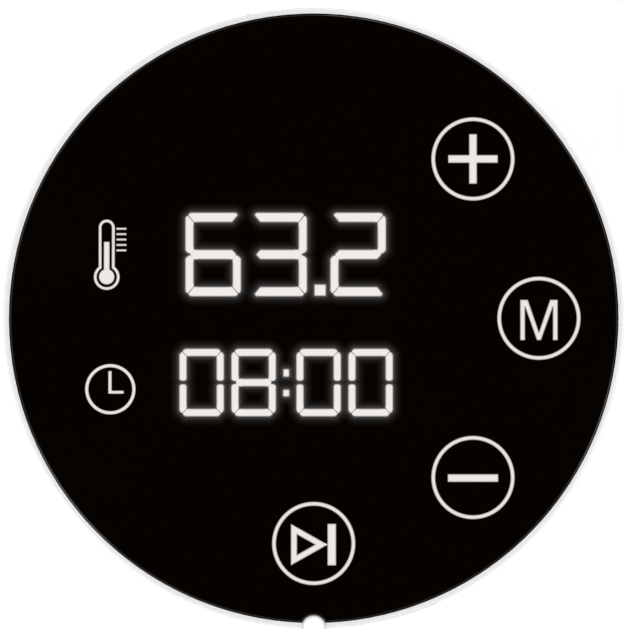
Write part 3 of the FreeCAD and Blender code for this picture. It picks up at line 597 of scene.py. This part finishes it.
def glass_outline(inset):
    """The glass's edge: a circle with a round notch in front for the status light."""
    big = GLASS_R - inset
    small = PIPE_R + PIPE_ROOM + inset
    gap = -PIPE_Y
    # Where the two circles cross, as an angle from each centre
    cross_y = (big**2 - small**2 + gap**2) / (2 * gap)
    half_w = math.sqrt(big**2 - cross_y**2)
    edge = math.degrees(math.atan2(-cross_y, half_w))
    notch_edge = math.degrees(math.atan2(gap - cross_y, half_w))
    rim = arc((0, 0), big, edge, 180 - edge, 361)
    notch = arc((0, PIPE_Y), small, 180 - notch_edge, notch_edge, 15)
    return rim + notch[1:-1]


def grid_points(step, nearest, farthest):
    """Points of a square grid, clear of the glass's edges, in a range of clearance from the figures."""
    count = int(GLASS_R / step)
    line = np.arange(-count, count + 1) * step
    points = np.array([(x, y) for x in line for y in line])
    rim_room = 0.8
    notch_room = 1.0
    points = points[np.hypot(points[:, 0], points[:, 1]) < GLASS_R - rim_room]
    points = points[np.hypot(points[:, 0], points[:, 1] - PIPE_Y) > PIPE_R + notch_room]
    near = nearest_of(ALL_LIT, points, FAR)
    return points[(near > nearest) & (near <= farthest)]


def glass_mesh():
    """Disc with a rounded rim, fine enough round the figures to carry their glow."""
    round_r = 0.22  # the top edge is round, and the lower one has a small chamfer
    steps = 5
    chamfer = 0.15
    inner = glass_outline(round_r)
    grids = np.vstack([grid_points(*grid) for grid in GLOW_GRIDS])
    figure_points = [point for outline in ALL_LIT for point in outline]
    flat = [Vector(p) for p in inner] + [Vector(p) for p in grids] + [Vector(p) for p in figure_points]
    corners, _, faces = delaunay_2d_cdt(flat, [], [list(range(len(inner)))], 1, 1e-5)[:3]
    work = bmesh.new()
    top = [work.verts.new((p.x, p.y, GLASS_TOP)) for p in corners]
    for face in faces:
        work.faces.new([top[i] for i in face])
    loop = top[: len(inner)]
    profile = []
    for i in range(1, steps + 1):
        turn = math.pi / 2 * i / steps
        profile.append((round_r * (1 - math.sin(turn)), GLASS_TOP - round_r * (1 - math.cos(turn))))
    profile += [(0.0, GLASS_BOTTOM + chamfer), (chamfer, GLASS_BOTTOM)]
    for inset, z in profile:
        below = [work.verts.new((x, y, z)) for x, y in glass_outline(inset)]
        for a, b, c, d in zip(loop, loop[1:] + loop[:1], below[1:] + below[:1], below):
            work.faces.new((a, b, c, d))
        loop = below
    work.faces.new(loop)
    bmesh.ops.recalc_face_normals(work, faces=work.faces)
    mesh = bpy.data.meshes.new("panel_glass")
    work.to_mesh(mesh)
    work.free()
    places = np.array([v.co for v in mesh.vertices])
    glow = glow_at(places[:, :2]) * (places[:, 2] > GLASS_TOP - 0.01)
    mesh.attributes.new("glow", "FLOAT", "POINT").data.foreach_set("value", glow.astype(np.float32))
    return mesh


def glass_finish():
    """Black glass with faint smears, lit from behind round the figures."""
    finish = Finish("panel_black_glass", PANEL_BLACK, 0.06, IOR=1.5)
    finish.set("Specular IOR Level", 0.45)
    finish.feed("Roughness", finish.spread(finish.noise(60.0, 3.0), 0.03, 0.1))
    glow = finish.node("ShaderNodeAttribute", attribute_name="glow").outputs["Fac"]
    finish.feed("Emission Color", finish.blend(glow, (0.0, 0.0, 0.0), (1.0, 0.97, 0.95)))
    finish.set("Emission Strength", 1.0)
    return finish


def mark_finish(name, color, edge):
    """Glowing mark with a faint grain, dimmer towards its edges: the figures' own light, and a painted glow
    on printed marks.
    """
    finish = Finish(name, shade(color, 0.04), 0.5)
    grain = finish.spread(finish.noise(2500.0, 2.0), 0.975, 1.0)
    core = finish.node("ShaderNodeAttribute", attribute_name="core").outputs["Fac"]
    level = finish.math("MULTIPLY", finish.spread(core, edge, 1.0, 0.0, 1.0), grain)
    finish.feed("Emission Color", finish.blend(level, (0.0, 0.0, 0.0), shade(color, 0.95)))
    finish.set("Emission Strength", 1.0)
    return finish


def build_panel():
    glass = add_piece("panel_glass", glass_mesh(), "unit", glass_finish(), smooth_below=30)
    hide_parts("top_glass")
    lit = mark_finish("lit_figures", LIT, 0.22)
    # The icons and the keys' rings are print given an emitted glow: their white is painted light, not lit by
    # the lamps
    glowing_print = mark_finish("panel_marks", ICON_GLOW, 0.26)
    figures = [(name, [[outline] for outline in outlines]) for name, outlines in LIT_GROUPS]
    icons = [("icon_thermometer", thermometer_marks()), ("icon_clock", clock_marks())]
    kinds = ((figures, SOFT_RIM, lit), (icons, ICON_RIM, glowing_print), (key_marks(), SOFT_RIM, glowing_print))
    for marks, soft, finish in kinds:
        for name, shapes in marks:
            add_piece(name, flat_solid(shapes, soft), "unit", finish)


build_panel()

# Finishes of the CAD nodes ----------------------------------------------------------------------


def dusted(finish, color, amount, scale=8.0):
    """Lays faint uneven patches of another colour over a finish's own colour."""
    socket = finish.shader.inputs["Base Color"]
    under = socket.links[0].from_socket
    patches = finish.spread(finish.noise(scale, 5.0), 0.0, amount, 0.45, 0.75)
    finish.feed("Base Color", finish.blend(patches, under, color))
    return finish


def layered(name, first, second, pitch_mm, axis, roughness=0.45, metallic=0.0):
    """Thin layers seen edge on, such as steel laminations or winding wire."""
    finish = Finish(name, first, roughness, metallic)
    level = finish.axis(axis)
    wobble = finish.spread(finish.noise(220.0, 2.0), -0.2, 0.2)
    phase = finish.math("ADD", finish.math("MULTIPLY", level, math.tau / (pitch_mm * MM)), wobble)
    wave = finish.spread(finish.math("SINE", phase), 0.0, 1.0, -0.8, 0.8)
    finish.feed("Base Color", finish.blend(wave, first, second))
    finish.bump(wave, 0.05)
    return finish


def circuit_board(name, base, track):
    """Solder mask with the tracks under it showing as paler lines along the board's two directions."""
    finish = Finish(name, base, 0.32, Coat_Weight=0.3)
    inputs = {"Vector": finish.place, "Scale": 260.0}
    cells = finish.node("ShaderNodeTexVoronoi", inputs, distance="CHEBYCHEV", feature="F2")
    lines = finish.spread(cells.outputs["Distance"], 0.0, 1.0, 0.55, 0.6)
    finish.feed("Base Color", finish.blend(lines, base, track))
    finish.bump(lines, 0.03)
    return finish


def heat_tinted(name, color):
    """Stainless tube whose oxide has turned straw and faint blue in patches."""
    finish = brushed(name, color, 0.3, (500.0, 500.0, 500.0), 0.006)
    patches = finish.spread(finish.noise(28.0, 3.0), 0.0, 1.0, 0.35, 0.65)
    straw = finish.blend(patches, (0.58, 0.44, 0.27), (0.27, 0.30, 0.42))
    under = finish.shader.inputs["Base Color"].links[0].from_socket
    mix = finish.spread(finish.noise(14.0, 2.0), 0.3, 0.9, 0.35, 0.65)
    finish.feed("Base Color", finish.blend(mix, under, straw))
    return finish


def silvered_ring(name):
    """Satin silver ring, brushed round its side, with a pale top that the glass sits in."""
    finish = brushed(name, (0.70, 0.70, 0.71), 0.3, (6.0, 6.0, 900.0), 0.003)
    streaked = finish.shader.inputs["Base Color"].links[0].from_socket
    facing = finish.node("ShaderNodeNewGeometry").outputs["Normal"]
    top = finish.spread(finish.axis("Z", facing), 0.0, 1.0, 0.25, 0.75)
    finish.feed("Metallic", finish.math("SUBTRACT", 1.0, top))
    finish.feed("Base Color", finish.blend(top, streaked, (0.84, 0.84, 0.845)))
    return finish


def light_guide(name):
    """Milky light guide: bright in the middle of its top end, dull at that end's rim and lower down."""
    milky = (0.60, 0.605, 0.61)
    dull = (0.27, 0.27, 0.273)
    radius = PIPE_R * MM
    finish = Finish(name, milky, 0.25, Coat_Weight=0.4)
    cloud = finish.spread(finish.noise(900.0, 2.0), 0.95, 1.0)
    rise = finish.spread(finish.axis("Z"), 0.02, 0.20, PIPE_LOW.z, (TOP - 2.0) * MM)
    end = finish.spread(finish.axis("Z"), 0.0, 1.0, (TOP - 1.0) * MM, (TOP - 0.1) * MM)
    ends = {0: finish.place, 1: (0.0, PIPE_Y * MM, TOP * MM)}
    off_centre = finish.node("ShaderNodeVectorMath", ends, operation="DISTANCE").outputs["Value"]
    core = finish.math("MULTIPLY", end, finish.spread(off_centre, 0.80, 0.0, 0.5 * radius, radius))
    rim = finish.math("MULTIPLY", end, finish.spread(off_centre, 0.0, 0.75, 0.6 * radius, radius))
    finish.feed("Base Color", finish.blend(rim, milky, dull))
    level = finish.math("MULTIPLY", finish.math("ADD", rise, core), cloud)
    finish.feed("Emission Color", finish.blend(level, (0.0, 0.0, 0.0), (1.0, 1.0, 1.0)))
    finish.set("Emission Strength", 1.0)
    return finish


def assign_finishes():
    around = (6.0, 6.0, 900.0)
    every_way = (300.0, 300.0, 300.0)
    dust = (0.02, 0.02, 0.02)
    housing = moulded("housing_black", (0.0110, 0.0110, 0.0116), 0.42, 1500.0, 0.02, Specular_IOR_Level=0.36)
    families = (
        (dusted(housing, dust, 0.5),
         "head_shell body_sleeve clip_bracket clip_lever seal_flange"),
        (brushed("steel_brushed", (0.57, 0.566, 0.556), 0.26, around), "skirt_tube heater_ferrules"),
        (heat_tinted("steel_heat_tinted", (0.60, 0.59, 0.575)), "heater_element"),
        (brushed("steel_probe", (0.58, 0.575, 0.565), 0.25, around, 0.0015), "temperature_probe drive_shaft"),
        (moulded("cap_black", (0.017, 0.0175, 0.0185), 0.36, 900.0, 0.02), "base_cap impeller"),
        (silvered_ring("bezel_silver"), "bezel_ring"),
        (brushed("seam_satin", (0.30, 0.30, 0.31), 0.32, around), "seam_ring"),
        (light_guide("status_light"), "status_light_pipe"),
        (moulded("rubber_black", (0.016, 0.016, 0.0165), 0.68, 1100.0, 0.03, Sheen_Weight=0.15),
         "skirt_oring flange_oring glass_gasket lever_pad body_pad shaft_seal motor_isolator cord_gland"),
        (moulded("plastic_inner", (0.055, 0.056, 0.06), 0.5, 1300.0, 0.02),
         "gland_nut chassis_frame cooling_fan terminal_block buzzer relay motor_end_plate"),
        (moulded("bush_white", (0.62, 0.61, 0.57), 0.38, 1300.0, 0.01), "shaft_guide"),
        (circuit_board("board_green", (0.012, 0.085, 0.04), (0.03, 0.16, 0.08)),
         "display_board power_board"),
        (moulded("component_black", (0.02, 0.02, 0.022), 0.4, 2000.0, 0.02),
         "board_components capacitors triac"),
        (moulded("display_case", (0.05, 0.05, 0.052), 0.35, 1800.0, 0.01),
         "temperature_display timer_display"),
        (moulded("touch_foam", (0.10, 0.10, 0.105), 0.85, 1600.0, 0.1), "touch_pads"),
        (layered("ribbon_grey", (0.55, 0.55, 0.56), (0.28, 0.28, 0.29), 1.27, "X"),
         "display_ribbon"),
        (layered("core_laminated", (0.16, 0.15, 0.14), (0.06, 0.055, 0.05), 0.7, "Z", 0.5, 0.6),
         "transformer emi_choke"),
        (brushed("heatsink_metal", (0.60, 0.605, 0.61), 0.38, every_way), "heatsink motor_mount"),
        (moulded("ceramic_white", (0.74, 0.72, 0.68), 0.42, 900.0, 0.01), "heater_terminals"),
        (brushed("sensor_steel", (0.60, 0.595, 0.58), 0.22, around, 0.0015), "level_electrodes"),
        (brushed("steel_polished", (0.58, 0.58, 0.585), 0.24, every_way, 0.003),
         "shaft_bearing motor_bearings shaft_clips case_screws small_screws bracket_screws clip_pin "
         "clip_spring"),
        (layered("motor_steel", (0.42, 0.42, 0.43), (0.25, 0.25, 0.26), 0.5, "Z", 0.38, 1.0),
         "motor_can stator_core rotor_magnet"),
        (layered("copper_windings", (0.70, 0.30, 0.14), (0.40, 0.14, 0.06), 0.5, "Z", 0.3, 1.0),
         "stator_windings"),
        (moulded("wire_insulation", (0.35, 0.03, 0.025), 0.42, 1500.0, 0.01), "wiring"),
    )
    for finish, names in families:
        for name in names.split():
            assign(name, finish)


assign_finishes()


def wind_spring():
    """Copies the clip's spring, which winds up as the lever turns, into an object of its own in place, and
    hides the original.
    """
    node = NODES["clip_spring"]
    spring = bpy.data.objects.new("spring_coil", node.data.copy())
    bpy.context.scene.collection.objects.link(spring)
    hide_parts("clip_spring")
    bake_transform(spring)


wind_spring()

# Water level marks on the skirt ------------------------------------------------------------------

LEVELS = (("low", 92.0, 1), ("high", 160.0, -1))  # height, and the side of the line its arrow stands on
LEVEL_LIFT = 0.02  # keeps the marks clear of the skirt
LEVEL_THICK = 0.03
SKIRT_R = (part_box("skirt_tube")[1].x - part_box("skirt_tube")[0].x) / 2 / MM


def wrapped(outline, radius, level):
    """Thin plate bent round the skirt: the outline is given along the front and up from a level."""
    part = filled([outline])
    cuts = int(max(abs(x) for x, _ in outline))
    for i in range(-cuts, cuts + 1):
        geometry = part.verts[:] + part.edges[:] + part.faces[:]
        bmesh.ops.bisect_plane(part, geom=geometry, plane_co=(i, 0, 0), plane_no=(1, 0, 0))
    for vertex in part.verts:
        angle = vertex.co.x / radius
        rise = vertex.co.y
        vertex.co = (radius * math.sin(angle), -radius * math.cos(angle), rise + level)
    bmesh.ops.solidify(part, geom=part.faces[:], thickness=LEVEL_THICK)
    bmesh.ops.recalc_face_normals(part, faces=part.faces)
    mesh = bpy.data.meshes.new("level_mark")
    part.to_mesh(mesh)
    part.free()
    return mesh


def build_level_marks():
    ink = moulded("etched_mark", (0.035, 0.035, 0.036), 0.6, 2400.0, 0.01)
    for name, height, side in LEVELS:
        line = bar(-12.0, 12.0, -0.25, 0.25)
        arrow = [(0.0, 0.7 * side), (1.3, 2.9 * side), (-1.3, 2.9 * side)]
        for kind, outline in (("line", line), ("arrow", arrow)):
            mark = wrapped(outline, SKIRT_R + LEVEL_LIFT, height)
            add_piece(f"level_{name}_{kind}", mark, "skirt", ink)


build_level_marks()

# Stage ------------------------------------------------------------------------------------------

FLOOR_R = 6.0
FLOOR_DROP = 0.0003  # keeps the floor clear of the base
FLOOR_GLOW = 0.22
FAR_GLOW = 0.5
HORIZON = 1.05
WALL = 0.9


def build_floor():
    """White floor that glows a little, and more far away, so that it meets the horizon without a line."""
    mesh = bpy.data.meshes.new("studio_floor")
    work = bmesh.new()
    bmesh.ops.create_circle(work, cap_ends=True, segments=96, radius=FLOOR_R)
    work.to_mesh(mesh)
    work.free()
    floor = bpy.data.objects.new("studio_floor", mesh)
    bpy.context.scene.collection.objects.link(floor)
    floor.location.z = -FLOOR_DROP
    finish = Finish("studio_floor", (0.93, 0.93, 0.93), 0.8)
    finish.set("Specular IOR Level", 0.2)
    finish.feed("Base Color", finish.blend(finish.noise(3.0), (0.925, 0.925, 0.925), (0.935, 0.935, 0.935)))
    away = finish.node("ShaderNodeVectorMath", {0: finish.place}, operation="LENGTH").outputs["Value"]
    far = finish.spread(away, 0.0, 1.0, 0.3, 1.6)
    finish.feed("Emission Color", finish.blend(far, (FLOOR_GLOW,) * 3, (FAR_GLOW,) * 3))
    finish.set("Emission Strength", 1.0)
    mesh.materials.append(finish.material)


def build_sky():
    """White horizon, greyer walls with two brighter sides, and a dark opening overhead."""
    world = bpy.data.worlds.new("studio")
    bpy.context.scene.world = world
    world.use_nodes = True
    tree = world.node_tree

    def node(kind, inputs, **settings):
        made = tree.nodes.new(kind)
        for key, value in settings.items():
            setattr(made, key, value)
        for key, value in inputs.items():
            if isinstance(value, bpy.types.NodeSocket):
                tree.links.new(value, made.inputs[key])
            else:
                made.inputs[key].default_value = value
        return made

    def ramp(value, stops):
        made = node("ShaderNodeValToRGB", {0: value})
        while len(made.color_ramp.elements) < len(stops):
            made.color_ramp.elements.new(0.5)
        for element, (position, level) in zip(made.color_ramp.elements, stops):
            element.position = position
            element.color = (level, level, level, 1.0)
        return made.outputs[0]

    direction = tree.nodes.new("ShaderNodeTexCoord").outputs["Generated"]
    x, y, z = node("ShaderNodeSeparateXYZ", {0: direction}).outputs
    height = ramp(z, ((0.0, HORIZON), (0.10, HORIZON), (0.30, WALL), (0.90, WALL), (0.955, 0.0)))
    sideways = node("ShaderNodeMath", {0: x}, operation="ABSOLUTE").outputs[0]
    sides = ramp(sideways, ((0.0, 0.55), (0.35, 0.6), (0.75, 1.1)))
    band = ramp(z, ((0.10, 0.0), (0.32, 1.0)))
    shaded = node("ShaderNodeMix", {0: band, 6: (1.0, 1.0, 1.0, 1.0), 7: sides}, data_type="RGBA").outputs[2]
    both = {0: 1.0, 6: height, 7: shaded}
    color = node("ShaderNodeMix", both, data_type="RGBA", blend_type="MULTIPLY").outputs[2]
    tree.links.new(color, tree.nodes["Background"].inputs["Color"])


def add_light(name, place, aim, size, watts):
    """Upright soft box, turned towards a point."""
    data = bpy.data.lights.new(name, "AREA")
    data.shape = "RECTANGLE"
    data.size, data.size_y = size
    data.energy = watts
    light = bpy.data.objects.new(name, data)
    bpy.context.scene.collection.objects.link(light)
    light.location = place
    light.rotation_euler = (Vector(aim) - Vector(place)).to_track_quat("-Z", "Y").to_euler()


def add_camera():
    """Looks straight down on the glass, with the far side of the stick at the top of the picture."""
    height = 0.250  # above the glass
    view_h = 72.32 * MM  # the picture's longer side at the glass
    sensor = 36.0
    data = bpy.data.cameras.new("camera")
    data.sensor_width = sensor
    data.lens = sensor * height / view_h
    data.clip_start = 0.01
    camera = bpy.data.objects.new("camera", data)
    bpy.context.scene.collection.objects.link(camera)
    camera.location = (-0.195 * MM, 0.43 * MM, TOP * MM + height)
    bpy.context.scene.camera = camera


build_floor()
build_sky()
aim = (0, 0, 0.17)
add_light("key", (-1.0, -0.75, 0.85), aim, (0.45, 1.0), 7.0)
add_light("fill", (1.15, -0.45, 0.75), aim, (0.35, 1.0), 4.5)
add_light("back", (0.35, 1.2, 0.95), aim, (0.6, 0.9), 5.5)
add_camera()
bpy.context.scene.view_settings.view_transform = "Standard"
